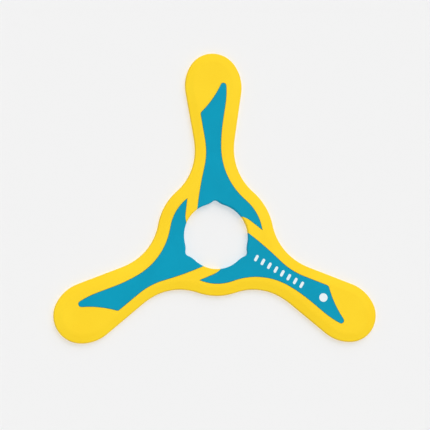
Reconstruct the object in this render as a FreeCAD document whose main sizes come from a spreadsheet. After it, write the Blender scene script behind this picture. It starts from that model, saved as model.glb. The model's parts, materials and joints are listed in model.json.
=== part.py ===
import FreeCAD, Part
import math
import os
import Sketcher

# Soft three-bladed boomerang, as a two-shot moulding with a pad-printed blade.
#
# The stiff core is moulded first: an inlay for each blade, and the thin flange that joins them.
# The soft skin is moulded over the flange, so that the inlays stay bare on both faces.
# Ink bars and an ink disc are printed on one inlay.
#
# Frame: origin on the hub's axis at the flat underside, +Z up through the printed face,
# +Y along one blade. Millimetres.

DIMENSIONS = {
    # blade outline, the same for all three blades
    "hub_radius": 50.0,
    "neck_half_width": 16.8,
    "neck_position": 72.9,
    "neck_radius": 63.6,
    "lobe_half_width": 24.4,
    "lobe_radius": 33.0,
    "tip_radius": 22.7,
    "reach": 155.4,
    # section of the blade
    "thickness": 4.0,
    "bevel_width": 7.0,
    "bevel_drop": 1.2,
    "crown_radius": 15.0,
    "shoulder_radius": 1.2,
    "bottom_radius": 0.8,
    # hub hole and its three finger notches
    "hole_radius": 27.6,
    "notch_reach": 30.2,
    "notch_radius": 3.5,
    "notch_blend": 16.0,
    "hole_top_radius": 0.9,
    "hole_bottom_radius": 0.4,
    # stiff core under the skin
    "flange_bottom": 1.2,
    "flange_top": 2.6,
    "flange_inset": 5.0,
    "flange_hole_radius": 31.5,
    "joint_groove": 0.35,
    # keying holes through the flange, which the skin fills
    "wide_key_radius": 3.0,
    "slim_key_radius": 1.6,
    # inlay, right-hand side: waist, sweep to the tail, and the tail itself
    "right_waist": 5.4,
    "right_waist_position": 74.6,
    "right_waist_radius": 134.0,
    "inlay_ring_radius": 40.1,
    "tail_angle": 7.3,
    "tail_heading": 142.3,
    "tail_run": 13.4,
    "tail_root_radius": 17.0,
    # inlay, outer end
    "right_flank_slope": 9.75,
    "right_flank_run": 14.5,
    "nose_side_radius": 77.5,
    "nose_turn": 2.3,
    "nose_radius": 2.6,
    "hook_radius": 85.5,
    "corner_radius": 3.2,
    # inlay, left-hand side
    "left_waist": 7.8,
    "left_waist_position": 72.3,
    "left_waist_radius": 59.0,
    "left_flank_slope": 9.1,
    "left_flank_run": 21.2,
    "foot_slope": 14.3,
    "foot_radius": 272.0,
    "inlay_inner_reach": 22.0,
    # print
    "ink_thickness": 0.06,
    "bar_length": 5.8,
    "bar_width": 2.4,
    "bar_pitch": 6.4,
    "bar_count": 8.0,
    "first_bar_position": 38.6,
    "print_offset": -1.0,
    "disc_radius": 3.6,
    "disc_position": 105.0,
}

BLADES = 3
TAIL_ROOT_TURN = 35.0
SECTOR = 360.0 / BLADES
PRINTED_BLADE = -SECTOR
LEAST_CUT = 1.0
LEVEL_TOLERANCE = 0.0001
START, END, CENTRE = 1, 2, 3
WHOLE_CURVE = 0
ROOT, Y_AXIS = -1, -2

# Keying holes in each blade: radius name, distance from the hub's axis, angle from the blade's axis.
KEYS = [
    ("wide_key_radius", 142.0, -2.0),
    ("wide_key_radius", 141.0, 3.0),
    ("wide_key_radius", 129.0, 4.5),
    ("slim_key_radius", 109.0, -7.0),
    ("slim_key_radius", 73.5, -6.5),
    ("wide_key_radius", 36.0, -85.5),
]

doc = FreeCAD.newDocument("Boomerang")


# ---- driving dimensions ----------------------------------------------------------------------

def make_sheet():
    sheet = doc.addObject("Spreadsheet::Sheet", "Dims")
    for row, (name, value) in enumerate(DIMENSIONS.items(), start=1):
        sheet.set(f"A{row}", name)
        sheet.set(f"B{row}", str(value))
        sheet.setAlias(f"B{row}", name)
    doc.recompute()
    return sheet


def dim(name):
    return float(sheet.get(name))


def point(x, y):
    return FreeCAD.Vector(x, y, 0)


def polar(radius, degrees, centre=None):
    """The point at a radius and an angle about a centre."""
    angle = math.radians(degrees)
    offset = point(radius * math.cos(angle), radius * math.sin(angle))
    return offset if centre is None else centre + offset


def heading(end, centre):
    """The angle in degrees of a point seen from a centre."""
    return math.degrees(math.atan2(end.y - centre.y, end.x - centre.x))


# ---- sketch and body helpers -----------------------------------------------------------------

def new_body(label):
    body = doc.addObject("PartDesign::Body", label)
    body.Label = label
    body.AllowCompound = True
    return body


def origin_feature(body, role):
    return next(item for item in body.Origin.OriginFeatures if item.Role == role)


def new_sketch(body, name, height=None):
    """A sketch on the body's XY plane, raised to a height given as an expression."""
    sketch = body.newObject("Sketcher::SketchObject", name)
    sketch.AttachmentSupport = [(origin_feature(body, "XY_Plane"), "")]
    sketch.MapMode = "FlatFace"
    if height:
        sketch.setExpression("AttachmentOffset.Base.z", height)
    return sketch


def tie(sketch, kind, piece, place, expression):
    """Drives one measure of a sketch by an expression.

    Radius, DistanceX and DistanceY are as Sketcher has them. Angle is a line's slope, Length is
    a line's length and Sweep is the angle that an arc covers.
    """
    if kind == "Radius":
        constraint = Sketcher.Constraint(kind, piece, sketch.Geometry[piece].Radius)
    elif kind == "Angle":
        line = sketch.Geometry[piece]
        slope = math.radians(heading(line.EndPoint, line.StartPoint))
        constraint = Sketcher.Constraint(kind, piece, slope)
    elif kind == "Sweep":
        arc = sketch.Geometry[piece]
        constraint = Sketcher.Constraint("Angle", piece, arc.LastParameter - arc.FirstParameter)
    elif kind == "Length":
        constraint = Sketcher.Constraint("Distance", piece, sketch.Geometry[piece].length())
    else:
        spot = sketch.getPoint(piece, place)
        constraint = Sketcher.Constraint(kind, piece, place, spot.x if kind == "DistanceX" else spot.y)
    index = sketch.addConstraint(constraint)
    sketch.setExpression(f"Constraints[{index}]", expression)


class Chain:
    """Lines and arcs joined end to end in one sketch. A smooth joint is tangent."""

    def __init__(self, sketch, start):
        self.sketch = sketch
        self.at = start
        self.joint = None
        self.first = None

    def add(self, curve, start, end, smooth):
        piece = self.sketch.addGeometry(curve, False)
        if self.joint is None:
            self.first = (piece, start)
        else:
            kind = "Tangent" if smooth else "Coincident"
            self.sketch.addConstraint(Sketcher.Constraint(kind, *self.joint, piece, start))
        self.joint = (piece, end)
        return piece

    def line(self, end, smooth=True):
        curve = Part.LineSegment(self.at, end)
        self.at = end
        return self.add(curve, START, END, smooth)

    def arc(self, centre, end, clockwise, smooth=True):
        circle = Part.Circle(centre, FreeCAD.Vector(0, 0, 1), self.at.distanceToPoint(centre))
        first = math.radians(heading(self.at, centre))
        last = math.radians(heading(end, centre))
        self.at = end
        if clockwise:
            return self.add(Part.ArcOfCircle(circle, last, first), END, START, smooth)
        return self.add(Part.ArcOfCircle(circle, first, last), START, END, smooth)

    def close(self, smooth=False):
        kind = "Tangent" if smooth else "Coincident"
        self.sketch.addConstraint(Sketcher.Constraint(kind, *self.joint, *self.first))


def settle(sketch):
    """Solves a sketch and insists that its dimensions fix it fully."""
    doc.recompute()
    if sketch.solve() != 0 or not sketch.FullyConstrained:
        raise RuntimeError(f"{sketch.Label} isn't fully constrained")


def pad(body, name, sketch, length):
    feature = body.newObject("PartDesign::Pad", name)
    feature.Profile = sketch
    feature.setExpression("Length", length)
    doc.recompute()
    return feature


def pocket_through(body, name, sketch):
    """Cuts right through the body, both ways from the sketch."""
    before = body.Shape.Volume
    feature = body.newObject("PartDesign::Pocket", name)
    feature.Profile = sketch
    feature.Type = "ThroughAll"
    feature.Midplane = True
    doc.recompute()
    if body.Shape.Volume > before - LEAST_CUT:
        raise RuntimeError(f"{name} cuts nothing")
    return feature


def repeat_on_blades(body, name, feature):
    """Copies a feature onto all three blades about the hub's axis."""
    pattern = body.newObject("PartDesign::PolarPattern", name)
    pattern.Originals = [feature]
    pattern.Axis = (origin_feature(body, "Z_Axis"), [""])
    pattern.Angle = 360.0
    pattern.Occurrences = BLADES
    body.Tip = pattern
    doc.recompute()
    return pattern


def mirror_and_repeat(body, name, feature):
    """Makes three whole blades from one half blade."""
    pattern = body.newObject("PartDesign::MultiTransform", name)
    mirror = body.newObject("PartDesign::Mirrored", name + "_mirror")
    mirror.MirrorPlane = (origin_feature(body, "YZ_Plane"), [""])
    turn = body.newObject("PartDesign::PolarPattern", name + "_turn")
    turn.Axis = (origin_feature(body, "Z_Axis"), [""])
    turn.Angle = 360.0
    turn.Occurrences = BLADES
    pattern.Originals = [feature]
    pattern.Transformations = [mirror, turn]
    body.Tip = pattern
    doc.recompute()
    return pattern


def edges_where(shape, test):
    """Names of the edges of a shape that pass a test."""
    return [f"Edge{index}" for index, edge in enumerate(shape.Edges, start=1) if test(edge)]


def lies_at(edge, height):
    """Whether the whole edge lies in the level plane at a height."""
    box = edge.BoundBox
    return abs(box.ZMin - height) < LEVEL_TOLERANCE and abs(box.ZMax - height) < LEVEL_TOLERANCE


def hub_distance(edge):
    """Shortest distance from the hub's axis to the edge's ends and middle."""
    middle = edge.valueAt((edge.FirstParameter + edge.LastParameter) / 2)
    spots = [vertex.Point for vertex in edge.Vertexes] + [middle]
    return min(math.hypot(spot.x, spot.y) for spot in spots)


# ---- outlines --------------------------------------------------------------------------------

def notch_points(hole):
    """A notch is an arc that reaches past the hole's edge and is blended into it on each side."""
    notch = dim("notch_radius")
    blend = dim("notch_blend")
    notch_centre = point(0, dim("notch_reach") - notch)
    blend_y = ((hole + blend) ** 2 - (notch + blend) ** 2 + notch_centre.y ** 2) / (2 * notch_centre.y)
    blend_centre = point(math.sqrt((hole + blend) ** 2 - blend_y ** 2), blend_y)
    blend_start = blend_centre * (hole / (hole + blend))
    blend_end = notch_centre + (blend_centre - notch_centre) * (notch / (notch + blend))
    return notch_centre, blend_centre, blend_start, blend_end


def half_blade(sketch, hole_name, inset_name=None, notched=True):
    """Half of one blade with its share of the hub, optionally drawn in by an inset all round."""
    inset = dim(inset_name) if inset_name else 0.0
    less = f" - Dims.{inset_name}" if inset_name else ""
    more = f" + Dims.{inset_name}" if inset_name else ""

    hub = dim("hub_radius") - inset
    neck_x = dim("neck_half_width") - inset
    neck_y = dim("neck_position")
    neck = dim("neck_radius") + inset
    lobe = dim("lobe_radius") - inset
    tip = dim("tip_radius") - inset
    reach = dim("reach") - inset
    hole = dim(hole_name)

    origin = point(0, 0)
    tip_centre = point(0, reach - tip)
    lobe_x = dim("lobe_half_width") - dim("lobe_radius")
    rise = math.sqrt((lobe - tip) ** 2 - lobe_x ** 2)
    lobe_centre = point(lobe_x, tip_centre.y - rise)
    tip_end = tip_centre + (tip_centre - lobe_centre).normalize() * tip

    # the straight flank touches the lobe arc on its right and the neck arc on its left
    neck_centre = point(neck_x + neck, neck_y)
    between = neck_centre - lobe_centre
    lean = math.degrees(math.acos((lobe + neck) / between.Length))
    flank_angle = heading(neck_centre, lobe_centre) + lean
    flank_top = polar(lobe, flank_angle, lobe_centre)
    flank_bottom = polar(neck, flank_angle + 180, neck_centre)

    # the root arc touches the neck at its waist and the hub's circle
    root = (neck_x ** 2 + neck_y ** 2 - hub ** 2) / (2 * (hub - neck_x))
    root_centre = point(neck_x + root, neck_y)
    hub_start = root_centre * (hub / (hub + root))
    hub_end = polar(hub, 90 - SECTOR / 2)

    hole_top = point(0, dim("notch_reach") if notched else hole)

    chain = Chain(sketch, hole_top)
    axis = chain.line(point(0, reach))
    tip_arc = chain.arc(tip_centre, tip_end, clockwise=True, smooth=False)
    lobe_arc = chain.arc(lobe_centre, flank_top, clockwise=True)
    chain.line(flank_bottom)
    neck_arc = chain.arc(neck_centre, point(neck_x, neck_y), clockwise=False)
    chain.arc(root_centre, hub_start, clockwise=False)
    hub_arc = chain.arc(origin, hub_end, clockwise=True)
    side = chain.line(polar(hole, 90 - SECTOR / 2), smooth=False)
    if notched:
        notch_centre, blend_centre, blend_start, blend_end = notch_points(hole)
        hole_arc = chain.arc(origin, blend_start, clockwise=False, smooth=False)
        blend_arc = chain.arc(blend_centre, blend_end, clockwise=True)
        notch_arc = chain.arc(notch_centre, hole_top, clockwise=False)
    else:
        hole_arc = chain.arc(origin, hole_top, clockwise=False, smooth=False)
    chain.close()

    sketch.addConstraint(Sketcher.Constraint("PointOnObject", axis, START, Y_AXIS))
    sketch.addConstraint(Sketcher.Constraint("Vertical", axis))
    tie(sketch, "DistanceY", axis, END, "Dims.reach" + less)
    sketch.addConstraint(Sketcher.Constraint("PointOnObject", tip_arc, CENTRE, Y_AXIS))
    tie(sketch, "Radius", tip_arc, WHOLE_CURVE, "Dims.tip_radius" + less)
    tie(sketch, "Radius", lobe_arc, WHOLE_CURVE, "Dims.lobe_radius" + less)
    tie(sketch, "DistanceX", lobe_arc, CENTRE, "Dims.lobe_half_width - Dims.lobe_radius")
    tie(sketch, "Radius", neck_arc, WHOLE_CURVE, "Dims.neck_radius" + more)
    tie(sketch, "DistanceY", neck_arc, CENTRE, "Dims.neck_position")
    tie(sketch, "DistanceX", neck_arc, END, "Dims.neck_half_width" + less)
    tie(sketch, "DistanceY", neck_arc, END, "Dims.neck_position")
    sketch.addConstraint(Sketcher.Constraint("Coincident", hub_arc, CENTRE, ROOT, START))
    tie(sketch, "Radius", hub_arc, WHOLE_CURVE, "Dims.hub_radius" + less)
    tie(sketch, "Angle", side, WHOLE_CURVE, f"{-90 - SECTOR / 2} deg")
    sketch.addConstraint(Sketcher.Constraint("PointOnObject", ROOT, START, side))
    sketch.addConstraint(Sketcher.Constraint("Coincident", hole_arc, CENTRE, ROOT, START))
    tie(sketch, "Radius", hole_arc, WHOLE_CURVE, f"Dims.{hole_name}")
    if notched:
        tie(sketch, "Radius", blend_arc, WHOLE_CURVE, "Dims.notch_blend")
        tie(sketch, "Radius", notch_arc, WHOLE_CURVE, "Dims.notch_radius")
        sketch.addConstraint(Sketcher.Constraint("PointOnObject", notch_arc, CENTRE, Y_AXIS))
        tie(sketch, "DistanceY", notch_arc, CENTRE, "Dims.notch_reach - Dims.notch_radius")
    settle(sketch)


def circle_at(sketch, radius_name, distance, degrees):
    """A circle placed by its distance from the hub's axis and its angle from the blade's axis."""
    centre = polar(distance, degrees + 90)
    circle = sketch.addGeometry(Part.Circle(centre, FreeCAD.Vector(0, 0, 1), dim(radius_name)), False)
    tie(sketch, "Radius", circle, WHOLE_CURVE, f"Dims.{radius_name}")
    tie(sketch, "DistanceX", circle, CENTRE, f"-{distance} mm * sin({degrees} deg)")
    tie(sketch, "DistanceY", circle, CENTRE, f"{distance} mm * cos({degrees} deg)")


def inlay(sketch):
    """One inlay's outline, with its foot and tail run on into the hub hole, which trims them."""
    origin = point(0, 0)

    # right-hand waist, then the sweep that runs into a ring about the hub's axis
    waist = point(dim("right_waist"), dim("right_waist_position"))
    ring = dim("inlay_ring_radius")
    sweep = (waist.x ** 2 + waist.y ** 2 - ring ** 2) / (2 * (ring - waist.x))
    sweep_centre = waist + point(sweep, 0)
    ring_start = sweep_centre * (ring / (ring + sweep))

    # the tail's inner edge leaves the ring at a sharp tip and bends into the hole
    tail_tip = polar(ring, dim("tail_angle"))
    tail_bend = polar(dim("tail_run"), dim("tail_heading"), tail_tip)
    tail_centre = polar(dim("tail_root_radius"), dim("tail_heading") + 90, tail_bend)
    tail_root = polar(dim("tail_root_radius"), dim("tail_heading") - 90 + TAIL_ROOT_TURN, tail_centre)

    # left-hand waist, the foot below it and the flank above it
    left_x = -dim("left_waist")
    left_centre = point(left_x - dim("left_waist_radius"), dim("left_waist_position"))
    foot_top = polar(dim("left_waist_radius"), -dim("foot_slope"), left_centre)
    foot_centre = polar(dim("foot_radius"), -dim("foot_slope"), foot_top)
    foot_drop = foot_centre.y - dim("inlay_inner_reach")
    foot_run = math.sqrt(dim("foot_radius") ** 2 - foot_drop ** 2)
    foot_end = point(foot_centre.x - foot_run, dim("inlay_inner_reach"))
    left_flank_start = polar(dim("left_waist_radius"), dim("left_flank_slope"), left_centre)
    left_flank_end = polar(dim("left_flank_run"), 90 + dim("left_flank_slope"), left_flank_start)
    corner_centre = polar(dim("corner_radius"), dim("left_flank_slope"), left_flank_end)

    # right-hand flank and the nose at the outer end
    right_centre = waist + point(dim("right_waist_radius"), 0)
    right_flank_start = polar(dim("right_waist_radius"), 180 - dim("right_flank_slope"), right_centre)
    right_flank_end = polar(dim("right_flank_run"), 90 - dim("right_flank_slope"), right_flank_start)
    side_centre = polar(dim("nose_side_radius"), 180 - dim("right_flank_slope"), right_flank_end)
    side_end = polar(dim("nose_side_radius"), dim("nose_turn"), side_centre)
    nose_centre = polar(dim("nose_radius"), 180 + dim("nose_turn"), side_end)

    # the hook between nose and corner curves inwards and touches both of their arcs
    to_nose = dim("hook_radius") + dim("nose_radius")
    to_corner = dim("hook_radius") + dim("corner_radius")
    between = corner_centre - nose_centre
    along = (to_nose ** 2 - to_corner ** 2 + between.Length ** 2) / (2 * between.Length)
    across = math.sqrt(to_nose ** 2 - along ** 2)
    direction = FreeCAD.Vector(between).normalize()
    hook_centre = nose_centre + direction * along + point(direction.y, -direction.x) * across
    nose_end = nose_centre + (hook_centre - nose_centre).normalize() * dim("nose_radius")
    corner_start = corner_centre + (hook_centre - corner_centre).normalize() * dim("corner_radius")

    chain = Chain(sketch, waist)
    sweep_arc = chain.arc(sweep_centre, ring_start, clockwise=False)
    ring_arc = chain.arc(origin, tail_tip, clockwise=True)
    tail = chain.line(tail_bend, smooth=False)
    tail_arc = chain.arc(tail_centre, tail_root, clockwise=False)
    chain.line(foot_end, smooth=False)
    foot_arc = chain.arc(foot_centre, foot_top, clockwise=True, smooth=False)
    left_arc = chain.arc(left_centre, left_flank_start, clockwise=False)
    left_flank = chain.line(left_flank_end)
    corner_arc = chain.arc(corner_centre, corner_start, clockwise=True)
    hook_arc = chain.arc(hook_centre, nose_end, clockwise=False)
    nose_arc = chain.arc(nose_centre, side_end, clockwise=True)
    side_arc = chain.arc(side_centre, right_flank_end, clockwise=True)
    right_flank = chain.line(right_flank_start)
    right_arc = chain.arc(right_centre, waist, clockwise=False)
    chain.close(smooth=True)

    tie(sketch, "DistanceX", sweep_arc, START, "Dims.right_waist")
    tie(sketch, "DistanceY", sweep_arc, START, "Dims.right_waist_position")
    tie(sketch, "DistanceY", sweep_arc, CENTRE, "Dims.right_waist_position")
    sketch.addConstraint(Sketcher.Constraint("Coincident", ring_arc, CENTRE, ROOT, START))
    tie(sketch, "Radius", ring_arc, WHOLE_CURVE, "Dims.inlay_ring_radius")
    tie(sketch, "DistanceY", ring_arc, START, "Dims.inlay_ring_radius * sin(Dims.tail_angle * 1 deg)")
    tie(sketch, "Angle", tail, WHOLE_CURVE, "Dims.tail_heading * 1 deg")
    tie(sketch, "Length", tail, WHOLE_CURVE, "Dims.tail_run")
    tie(sketch, "Radius", tail_arc, WHOLE_CURVE, "Dims.tail_root_radius")
    tie(sketch, "Sweep", tail_arc, WHOLE_CURVE, f"{TAIL_ROOT_TURN} deg")
    tie(sketch, "DistanceY", foot_arc, END, "Dims.inlay_inner_reach")
    tie(sketch, "Radius", foot_arc, WHOLE_CURVE, "Dims.foot_radius")
    tie(sketch, "Radius", left_arc, WHOLE_CURVE, "Dims.left_waist_radius")
    tie(sketch, "DistanceX", left_arc, CENTRE, "-Dims.left_waist - Dims.left_waist_radius")
    tie(sketch, "DistanceY", left_arc, CENTRE, "Dims.left_waist_position")
    tie(sketch, "Sweep", left_arc, WHOLE_CURVE, "(Dims.foot_slope + Dims.left_flank_slope) * 1 deg")
    tie(sketch, "Angle", left_flank, WHOLE_CURVE, "(90 + Dims.left_flank_slope) * 1 deg")
    tie(sketch, "Length", left_flank, WHOLE_CURVE, "Dims.left_flank_run")
    tie(sketch, "Radius", corner_arc, WHOLE_CURVE, "Dims.corner_radius")
    tie(sketch, "Radius", hook_arc, WHOLE_CURVE, "Dims.hook_radius")
    tie(sketch, "Radius", nose_arc, WHOLE_CURVE, "Dims.nose_radius")
    tie(sketch, "Radius", side_arc, WHOLE_CURVE, "Dims.nose_side_radius")
    tie(sketch, "Sweep", side_arc, WHOLE_CURVE, "(Dims.nose_turn + Dims.right_flank_slope) * 1 deg")
    tie(sketch, "Length", right_flank, WHOLE_CURVE, "Dims.right_flank_run")
    tie(sketch, "Radius", right_arc, WHOLE_CURVE, "Dims.right_waist_radius")
    tie(sketch, "Angle", right_flank, WHOLE_CURVE, "(-90 - Dims.right_flank_slope) * 1 deg")
    settle(sketch)


# ---- blank: the boomerang's whole envelope ---------------------------------------------------

def bevel(body, name, edges, width, drop):
    """A chamfer that takes the drop off the side walls and the width off the top face."""
    base = body.Tip
    feature = body.newObject("PartDesign::Chamfer", name)
    feature.Base = (base, edges)
    feature.ChamferType = "Two distances"
    feature.setExpression("Size", drop)
    feature.setExpression("Size2", width)
    doc.recompute()
    return feature


def round_over(body, name, edges, radius):
    base = body.Tip
    feature = body.newObject("PartDesign::Fillet", name)
    feature.Base = (base, edges)
    feature.setExpression("Radius", radius)
    doc.recompute()
    return feature


def make_blank():
    body = new_body("blank")
    outline = new_sketch(body, "blank_outline")
    half_blade(outline, "hole_radius")
    half_plate = pad(body, "half_plate", outline, "Dims.thickness")
    mirror_and_repeat(body, "plate", half_plate)

    outside = (dim("hole_radius") + dim("hub_radius")) / 2
    top = dim("thickness")
    rim = edges_where(body.Shape, lambda edge: lies_at(edge, top) and hub_distance(edge) > outside)
    bevel(body, "rim_bevel", rim, "Dims.bevel_width", "Dims.bevel_drop")
    crest = edges_where(body.Shape, lambda edge: lies_at(edge, top) and hub_distance(edge) > outside)
    round_over(body, "rim_crown", crest, "Dims.crown_radius")
    shoulder_height = top - dim("bevel_drop")
    shoulder = edges_where(body.Shape, lambda edge: lies_at(edge, shoulder_height))
    round_over(body, "rim_shoulder", shoulder, "Dims.shoulder_radius")
    sole = edges_where(body.Shape, lambda edge: lies_at(edge, 0) and hub_distance(edge) > outside)
    round_over(body, "rim_sole", sole, "Dims.bottom_radius")
    lip = edges_where(body.Shape, lambda edge: lies_at(edge, top) and hub_distance(edge) < outside)
    round_over(body, "hole_lip", lip, "Dims.hole_top_radius")
    hem = edges_where(body.Shape, lambda edge: lies_at(edge, 0) and hub_distance(edge) < outside)
    round_over(body, "hole_hem", hem, "Dims.hole_bottom_radius")
    return body


# ---- core: the stiff first shot --------------------------------------------------------------

def make_core():
    """Flange and inlays. Returns the body and its last feature before the joint grooves."""
    body = new_body("core")
    flange_sketch = new_sketch(body, "flange_outline", "Dims.flange_bottom")
    half_blade(flange_sketch, "flange_hole_radius", "flange_inset", notched=False)
    half_flange = pad(body, "half_flange", flange_sketch, "Dims.flange_top - Dims.flange_bottom")
    mirror_and_repeat(body, "flange", half_flange)

    key_sketch = new_sketch(body, "key_holes_outline")
    for radius_name, distance, degrees in KEYS:
        circle_at(key_sketch, radius_name, distance, degrees)
    settle(key_sketch)
    key_holes = pocket_through(body, "key_holes", key_sketch)
    repeat_on_blades(body, "all_key_holes", key_holes)

    inlay_sketch = new_sketch(body, "inlay_outline")
    inlay(inlay_sketch)
    one_inlay = pad(body, "one_inlay", inlay_sketch, "Dims.thickness")
    inlays = repeat_on_blades(body, "inlays", one_inlay)

    faces = (0.0, dim("thickness"))
    brims = edges_where(body.Shape, lambda edge: any(lies_at(edge, height) for height in faces))
    groove = body.newObject("PartDesign::Chamfer", "joint_grooves")
    groove.Base = (inlays, brims)
    groove.setExpression("Size", "Dims.joint_groove")
    doc.recompute()
    return body, inlays


# ---- print: ink laid on one inlay ------------------------------------------------------------

def print_body(label):
    body = new_body(label)
    turn = FreeCAD.Rotation(FreeCAD.Vector(0, 0, 1), PRINTED_BLADE)
    body.Placement = FreeCAD.Placement(point(0, 0), turn)
    return body


def make_bars():
    """A row of round-ended bars that lie across the blade."""
    body = print_body("print_bars")
    sketch = new_sketch(body, "bar_outline", "Dims.thickness")
    half_run = (dim("bar_length") - dim("bar_width")) / 2
    round_end = dim("bar_width") / 2
    middle = point(dim("print_offset"), dim("first_bar_position"))
    left = middle - point(half_run, 0)
    right = middle + point(half_run, 0)
    lift = point(0, round_end)

    chain = Chain(sketch, left - lift)
    side = chain.line(right - lift)
    right_end = chain.arc(right, right + lift, clockwise=False)
    chain.line(left + lift)
    left_end = chain.arc(left, left - lift, clockwise=False)
    chain.close(smooth=True)
    sketch.addConstraint(Sketcher.Constraint("Horizontal", side))
    sketch.addConstraint(Sketcher.Constraint("Equal", left_end, right_end))
    tie(sketch, "Radius", right_end, WHOLE_CURVE, "Dims.bar_width / 2")
    tie(sketch, "DistanceX", right_end, CENTRE, "Dims.print_offset + (Dims.bar_length - Dims.bar_width) / 2")
    tie(sketch, "DistanceX", left_end, CENTRE, "Dims.print_offset - (Dims.bar_length - Dims.bar_width) / 2")
    tie(sketch, "DistanceY", right_end, CENTRE, "Dims.first_bar_position")
    settle(sketch)

    bar = pad(body, "bar", sketch, "Dims.ink_thickness")
    row = body.newObject("PartDesign::LinearPattern", "bar_row")
    row.Originals = [bar]
    row.Direction = (origin_feature(body, "Y_Axis"), [""])
    row.setExpression("Length", "Dims.bar_pitch * (Dims.bar_count - 1)")
    row.setExpression("Occurrences", "Dims.bar_count")
    body.Tip = row
    doc.recompute()
    return body


def make_disc():
    body = print_body("print_disc")
    sketch = new_sketch(body, "disc_outline", "Dims.thickness")
    middle = point(dim("print_offset"), dim("disc_position"))
    circle = sketch.addGeometry(Part.Circle(middle, FreeCAD.Vector(0, 0, 1), dim("disc_radius")), False)
    tie(sketch, "Radius", circle, WHOLE_CURVE, "Dims.disc_radius")
    tie(sketch, "DistanceX", circle, CENTRE, "Dims.print_offset")
    tie(sketch, "DistanceY", circle, CENTRE, "Dims.disc_position")
    settle(sketch)
    pad(body, "disc", sketch, "Dims.ink_thickness")
    return body


# ---- the pieces ------------------------------------------------------------------------------

def boolean(kind, label, base, tool):
    feature = doc.addObject(kind, label)
    feature.Label = label
    feature.Base = base
    feature.Tool = tool
    doc.recompute()
    return feature


def check_document(pieces):
    for item in doc.Objects:
        if "Invalid" in item.State or "Error" in item.State:
            raise RuntimeError(f"{item.Label} failed: {item.State}")
    for piece in pieces:
        if piece.Shape.isNull() or not piece.Shape.isValid() or not piece.Shape.Solids:
            raise RuntimeError(f"{piece.Label} has no valid solid")


sheet = make_sheet()
blank = make_blank()
core, ungrooved_core = make_core()
pieces = [
    boolean("Part::Common", "core_frame", core, blank),
    boolean("Part::Cut", "soft_skin", blank, ungrooved_core),
    make_bars(),
    make_disc(),
]
doc.recompute()
check_document(pieces)
os.makedirs("parts", exist_ok=True)
for piece in pieces:
    piece.Shape.exportStep(f"parts/{piece.Label}.step")
    print(f"{piece.Label}: {len(piece.Shape.Solids)} solids, {piece.Shape.Volume:.0f} mm3")
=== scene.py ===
import json
import math

import bpy
from mathutils import Matrix, Vector


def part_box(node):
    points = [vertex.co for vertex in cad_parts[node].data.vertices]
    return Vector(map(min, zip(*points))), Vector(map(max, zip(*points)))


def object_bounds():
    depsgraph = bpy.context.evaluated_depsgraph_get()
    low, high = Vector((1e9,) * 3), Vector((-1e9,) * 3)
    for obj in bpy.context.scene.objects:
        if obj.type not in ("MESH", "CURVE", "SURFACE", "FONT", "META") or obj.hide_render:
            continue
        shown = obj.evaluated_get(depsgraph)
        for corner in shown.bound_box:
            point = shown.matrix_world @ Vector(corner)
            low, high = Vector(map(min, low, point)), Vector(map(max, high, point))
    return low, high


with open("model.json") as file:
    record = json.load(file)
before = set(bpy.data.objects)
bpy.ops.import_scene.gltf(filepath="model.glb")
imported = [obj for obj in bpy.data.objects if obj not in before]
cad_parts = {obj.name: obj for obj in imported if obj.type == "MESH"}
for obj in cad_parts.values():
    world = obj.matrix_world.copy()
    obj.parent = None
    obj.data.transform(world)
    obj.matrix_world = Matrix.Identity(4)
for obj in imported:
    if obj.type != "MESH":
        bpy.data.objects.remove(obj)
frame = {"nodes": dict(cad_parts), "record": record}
cad_low, cad_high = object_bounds()

# ---- lengths, in metres ----------------------------------------------------------------------

MM = 0.001
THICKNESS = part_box("core_frame")[1].z

# ---- camera ----------------------------------------------------------------------------------

LENS_MM = 171.0
SENSOR_MM = 36.0
CAMERA_DISTANCE = 1.712
CAMERA_TILT = math.radians(14.1)
CAMERA_LEAN = math.radians(207.6)
CAMERA_ROLL = math.radians(-0.27)
AIM = Vector((-0.75 * MM, 17.9 * MM, 0.6 * THICKNESS))


def make_camera():
    """A long lens nearly straight above, leaning a little towards the lower left of the view."""
    data = bpy.data.cameras.new("camera")
    data.lens = LENS_MM
    data.sensor_width = SENSOR_MM
    camera = bpy.data.objects.new("camera", data)
    bpy.context.scene.collection.objects.link(camera)
    tilt_axis = Vector((-math.sin(CAMERA_LEAN), math.cos(CAMERA_LEAN), 0.0))
    lean = Matrix.Rotation(CAMERA_TILT, 4, tilt_axis) @ Matrix.Translation((0.0, 0.0, CAMERA_DISTANCE))
    camera.matrix_world = Matrix.Rotation(CAMERA_ROLL, 4, "Z") @ Matrix.Translation(AIM) @ lean
    bpy.context.scene.camera = camera


# ---- light and floor -------------------------------------------------------------------------

WORLD_STRENGTH = 0.44
KEY_FROM = (0.38, 0.92, 0.78)
KEY_STRENGTH = 1.08
KEY_SPREAD = math.radians(55.0)
FILLS_FROM = {"left_fill": (-0.45, -0.1, 1.0), "right_fill": (0.45, 0.1, 1.0)}
FILL_STRENGTH = 0.92
FILL_SPREAD = math.radians(20.0)
WORLD_EVEN_BELOW = 0.55
WORLD_DARK_ABOVE = 0.92
WHITE = (1.0, 1.0, 1.0, 1.0)
WORLD_OVERHEAD = (0.06, 0.06, 0.06, 1.0)
FLOOR_SIZE = 80.0
FLOOR_GAP = 0.1 * MM
FLOOR_COLOUR = (0.896, 0.896, 0.896, 1.0)
FLOOR_SPECULAR = 0.1
FLOOR_ROUGHNESS = 0.9


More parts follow.
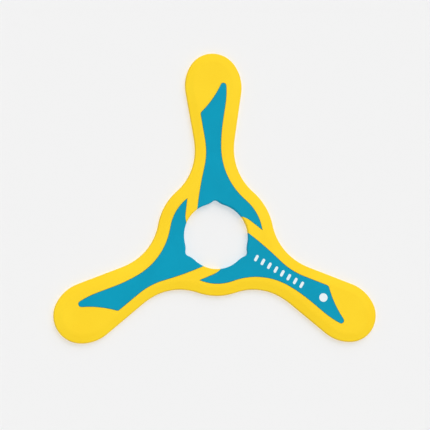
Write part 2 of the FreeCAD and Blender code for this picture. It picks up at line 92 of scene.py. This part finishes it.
def make_world():
    """Even light from all round, with less from overhead, where the camera stands."""
    world = bpy.data.worlds.new("studio")
    world.use_nodes = True
    nodes, links = world.node_tree.nodes, world.node_tree.links
    direction = nodes.new("ShaderNodeTexCoord").outputs["Generated"]
    split = nodes.new("ShaderNodeSeparateXYZ")
    links.new(direction, split.inputs["Vector"])
    ramp = nodes.new("ShaderNodeValToRGB")
    ramp.color_ramp.elements[0].position = WORLD_EVEN_BELOW
    ramp.color_ramp.elements[0].color = WHITE
    ramp.color_ramp.elements[1].position = WORLD_DARK_ABOVE
    ramp.color_ramp.elements[1].color = WORLD_OVERHEAD
    links.new(split.outputs["Z"], ramp.inputs["Fac"])
    background = nodes["Background"]
    links.new(ramp.outputs["Color"], background.inputs["Color"])
    background.inputs["Strength"].default_value = WORLD_STRENGTH
    bpy.context.scene.world = world


def make_sun(name, source, strength, spread, shadows):
    """A distant, even light. The fills cast no shadows, so that the key's stay faint."""
    data = bpy.data.lights.new(name, "SUN")
    data.energy = strength
    data.angle = spread
    data.use_shadow = shadows
    light = bpy.data.objects.new(name, data)
    light.rotation_euler = Vector(source).to_track_quat("Z", "Y").to_euler()
    bpy.context.scene.collection.objects.link(light)


def make_floor():
    """The floor lies a hair below the flat underside, so that the two faces don't coincide."""
    bpy.ops.mesh.primitive_plane_add(size=FLOOR_SIZE, location=(0.0, 0.0, cad_low[2] - FLOOR_GAP))
    floor = bpy.context.object
    floor.name = "floor"
    floor.data.materials.append(floor_material())


# ---- materials -------------------------------------------------------------------------------
# A name that ends in _MM is a length in millimetres, such as the size of a pattern's blotches.
# A name that ends in _BAND is a pair of values, between which an effect runs from none to full.

YELLOW = (0.995, 0.690, 0.021, 1.0)
YELLOW_DEEP = (0.980, 0.655, 0.017, 1.0)
YELLOW_SPECK = (0.900, 0.560, 0.020, 1.0)
YELLOW_SLOPE_DARK = (0.820, 0.560, 0.050, 1.0)
TEAL = (0.0, 0.335, 0.510, 1.0)
TEAL_DEEP = (0.0, 0.315, 0.480, 1.0)
TEAL_SCRATCH = (0.030, 0.420, 0.600, 1.0)
# Near-black teal, painted on the teal's sloped faces as shade in the joint's groove and on the walls.
GROOVE_PAINTED_SHADE = (0.0, 0.110, 0.110, 1.0)
INK = (0.860, 0.930, 0.950, 1.0)
INK_THIN = (0.760, 0.860, 0.900, 1.0)

CLOUD_BAND = (0.3, 0.7)
GRAIN_BAND = (0.2, 0.8)
RARE_BAND = (0.68, 0.74)

SKIN_SPECULAR = 0.12
SKIN_ROUGHNESS = (0.52, 0.68)
SKIN_CLOUD_MM = 55.0
SKIN_GRAIN_MM = 0.45
SKIN_RELIEF_MM = 0.03
SPECK_MM = 1.4
SPECK_BAND = (0.62, 0.72)
SPECK_AMOUNT = 0.35
SLOPE_BLOTCH_MM = 6.0
SLOPE_LEVEL_BAND = (0.97, 0.5)

CORE_SPECULAR = 0.06
CORE_ROUGHNESS = (0.42, 0.56)
CORE_FLOW_MM = 30.0
CORE_GRAIN_MM = 0.35
CORE_RELIEF_MM = 0.015
SCRATCH_MM = 0.5
SCRATCH_STRETCH = 35.0
SCRATCH_TURNS = (22.0, 71.0, 138.0)
SCRATCH_PALING = 0.25
SCRATCH_ROUGHENING = 0.1
GROOVE_SHADE_LEVEL_BAND = (0.95, 0.8)
LIP_WIDTH_MM = 3.0
LIP_FADE_MM = 1.5
HUB_HOLE = next(mount for mount in frame["record"]["mounts"] if mount["name"] == "hub_hole")
LIP_RADIUS = (HUB_HOLE["dims"]["r_mm"] + LIP_WIDTH_MM) * MM
LIP_BAND = (LIP_RADIUS, LIP_RADIUS + LIP_FADE_MM * MM)

INK_SPECULAR = 0.12
INK_ROUGHNESS = (0.45, 0.6)
INK_UNEVEN_MM = 2.5
INK_RELIEF_MM = 0.004
PINHOLE_MM = 0.5
PINHOLE_AMOUNT = 0.7

MIX_FIRST_COLOUR = 6
MIX_SECOND_COLOUR = 7
MIX_COLOUR_RESULT = 2


class Finish:
    """A material on the shader's own sockets, with short ways to make the nodes that feed them."""

    def __init__(self, name, specular):
        self.material = bpy.data.materials.new(name)
        self.material.use_nodes = True
        self.nodes = self.material.node_tree.nodes
        self.links = self.material.node_tree.links
        self.shader = self.nodes["Principled BSDF"]
        self.shader.inputs["Specular IOR Level"].default_value = specular
        self.place = self.nodes.new("ShaderNodeTexCoord")

    def feed(self, value, socket):
        if isinstance(value, bpy.types.NodeSocket):
            self.links.new(value, socket)
        else:
            socket.default_value = value

    def noise(self, size_mm, detail=2.0, stretch=1.0, turn=0.0):
        """Noise whose blotches are about a size across, drawn out along a turned axis by a stretch."""
        mapping = self.nodes.new("ShaderNodeMapping")
        mapping.vector_type = "TEXTURE"
        mapping.inputs["Rotation"].default_value = (0.0, 0.0, math.radians(turn))
        mapping.inputs["Scale"].default_value = (stretch, 1.0, 1.0)
        self.links.new(self.place.outputs["Object"], mapping.inputs["Vector"])
        noise = self.nodes.new("ShaderNodeTexNoise")
        noise.inputs["Scale"].default_value = 1.0 / (size_mm * MM)
        noise.inputs["Detail"].default_value = detail
        self.links.new(mapping.outputs["Vector"], noise.inputs["Vector"])
        return noise.outputs["Fac"]

    def ramp(self, value, band, low=0.0, high=1.0):
        """Runs smoothly from low to high while the value crosses the band."""
        node = self.nodes.new("ShaderNodeMapRange")
        node.interpolation_type = "SMOOTHSTEP"
        node.inputs["From Min"].default_value = band[0]
        node.inputs["From Max"].default_value = band[1]
        node.inputs["To Min"].default_value = low
        node.inputs["To Max"].default_value = high
        self.links.new(value, node.inputs["Value"])
        return node.outputs["Result"]

    def maths(self, operation, first, second):
        node = self.nodes.new("ShaderNodeMath")
        node.operation = operation
        self.feed(first, node.inputs[0])
        self.feed(second, node.inputs[1])
        return node.outputs["Value"]

    def mix(self, amount, first, second):
        """Colour that runs from first to second."""
        node = self.nodes.new("ShaderNodeMix")
        node.data_type = "RGBA"
        self.feed(amount, node.inputs["Factor"])
        self.feed(first, node.inputs[MIX_FIRST_COLOUR])
        self.feed(second, node.inputs[MIX_SECOND_COLOUR])
        return node.outputs[MIX_COLOUR_RESULT]

    def level(self):
        """How level the surface is: 1 on the flat faces, 0 on an upright wall."""
        split = self.nodes.new("ShaderNodeSeparateXYZ")
        self.links.new(self.place.outputs["Normal"], split.inputs["Vector"])
        return self.maths("ABSOLUTE", split.outputs["Z"], 0.0)

    def hub_distance(self):
        """Distance from the hub's axis."""
        flat = self.nodes.new("ShaderNodeVectorMath")
        flat.operation = "MULTIPLY"
        flat.inputs[1].default_value = (1.0, 1.0, 0.0)
        self.links.new(self.place.outputs["Object"], flat.inputs[0])
        length = self.nodes.new("ShaderNodeVectorMath")
        length.operation = "LENGTH"
        self.links.new(flat.outputs["Vector"], length.inputs[0])
        return length.outputs["Value"]

    def surface(self, colour, roughness, height, depth_mm):
        """Connects the colour, the roughness and a relief of a depth."""
        self.feed(colour, self.shader.inputs["Base Color"])
        self.feed(roughness, self.shader.inputs["Roughness"])
        bump = self.nodes.new("ShaderNodeBump")
        bump.inputs["Distance"].default_value = depth_mm * MM
        self.links.new(height, bump.inputs["Height"])
        self.links.new(bump.outputs["Normal"], self.shader.inputs["Normal"])
        return self.material


def floor_material():
    finish = Finish("pale_floor", FLOOR_SPECULAR)
    finish.shader.inputs["Base Color"].default_value = FLOOR_COLOUR
    finish.shader.inputs["Roughness"].default_value = FLOOR_ROUGHNESS
    return finish.material


def skin_material():
    """Matt yellow elastomer: clouded colour, a spark-eroded grain, and a blotchy darker tone on the
    sloped rim and walls.
    """
    finish = Finish("yellow_elastomer", SKIN_SPECULAR)
    clouds = finish.ramp(finish.noise(SKIN_CLOUD_MM, detail=3.0), CLOUD_BAND)
    specks = finish.ramp(finish.noise(SPECK_MM, detail=4.0), SPECK_BAND, high=SPECK_AMOUNT)
    # Darker in blotches on the sloped rim and walls than on the flat faces.
    slope = finish.ramp(finish.level(), SLOPE_LEVEL_BAND)
    slope_darkening = finish.maths("MULTIPLY", slope, finish.noise(SLOPE_BLOTCH_MM, detail=3.0))
    grain = finish.noise(SKIN_GRAIN_MM)

    colour = finish.mix(clouds, YELLOW, YELLOW_DEEP)
    colour = finish.mix(specks, colour, YELLOW_SPECK)
    colour = finish.mix(slope_darkening, colour, YELLOW_SLOPE_DARK)
    roughness = finish.ramp(grain, GRAIN_BAND, *SKIN_ROUGHNESS)
    return finish.surface(colour, roughness, grain, SKIN_RELIEF_MM)


def core_material():
    """Satin teal plastic: faint flow marks, fine scratches, and painted shade in the joint's groove
    and on the sloped walls away from the hub hole.
    """
    finish = Finish("teal_plastic", CORE_SPECULAR)
    flow = finish.ramp(finish.noise(CORE_FLOW_MM, detail=3.0), CLOUD_BAND)
    scratches = 0.0
    for turn in SCRATCH_TURNS:
        strokes = finish.noise(SCRATCH_MM, stretch=SCRATCH_STRETCH, turn=turn)
        strokes = finish.ramp(strokes, RARE_BAND)
        scratches = finish.maths("MAXIMUM", scratches, strokes)
    grain = finish.noise(CORE_GRAIN_MM)
    outside = finish.ramp(finish.hub_distance(), LIP_BAND)
    # Painted shade: the teal's sloped faces, away from the hub hole, are darkened as if the groove and
    # the walls lay in shade.
    groove_painted_shade = finish.maths("MULTIPLY", finish.ramp(finish.level(), GROOVE_SHADE_LEVEL_BAND), outside)

    colour = finish.mix(flow, TEAL, TEAL_DEEP)
    paling = finish.maths("MULTIPLY", scratches, SCRATCH_PALING)
    colour = finish.mix(paling, colour, TEAL_SCRATCH)
    colour = finish.mix(groove_painted_shade, colour, GROOVE_PAINTED_SHADE)
    scuffing = finish.maths("MULTIPLY", scratches, SCRATCH_ROUGHENING)
    satin = finish.ramp(grain, GRAIN_BAND, *CORE_ROUGHNESS)
    roughness = finish.maths("ADD", satin, scuffing)
    height = finish.maths("SUBTRACT", grain, scratches)
    return finish.surface(colour, roughness, height, CORE_RELIEF_MM)


def ink_material():
    """White pad print with a little of the teal showing through pinholes."""
    finish = Finish("white_ink", INK_SPECULAR)
    pinholes = finish.ramp(finish.noise(PINHOLE_MM, detail=3.0), RARE_BAND, high=PINHOLE_AMOUNT)
    unevenness = finish.noise(INK_UNEVEN_MM)
    colour = finish.mix(unevenness, INK, INK_THIN)
    colour = finish.mix(pinholes, colour, TEAL)
    roughness = finish.ramp(unevenness, GRAIN_BAND, *INK_ROUGHNESS)
    return finish.surface(colour, roughness, unevenness, INK_RELIEF_MM)


def dress_nodes():
    ink = ink_material()
    finishes = {
        "soft_skin": skin_material(),
        "core_frame": core_material(),
        "print_bars": ink,
        "print_disc": ink,
    }
    for name, piece in frame["nodes"].items():
        piece.data.materials.clear()
        piece.data.materials.append(finishes[name])


make_camera()
make_world()
make_sun("key", KEY_FROM, KEY_STRENGTH, KEY_SPREAD, shadows=True)
for name, source in FILLS_FROM.items():
    make_sun(name, source, FILL_STRENGTH, FILL_SPREAD, shadows=False)
make_floor()
dress_nodes()

bpy.context.scene.view_settings.view_transform = "Standard"
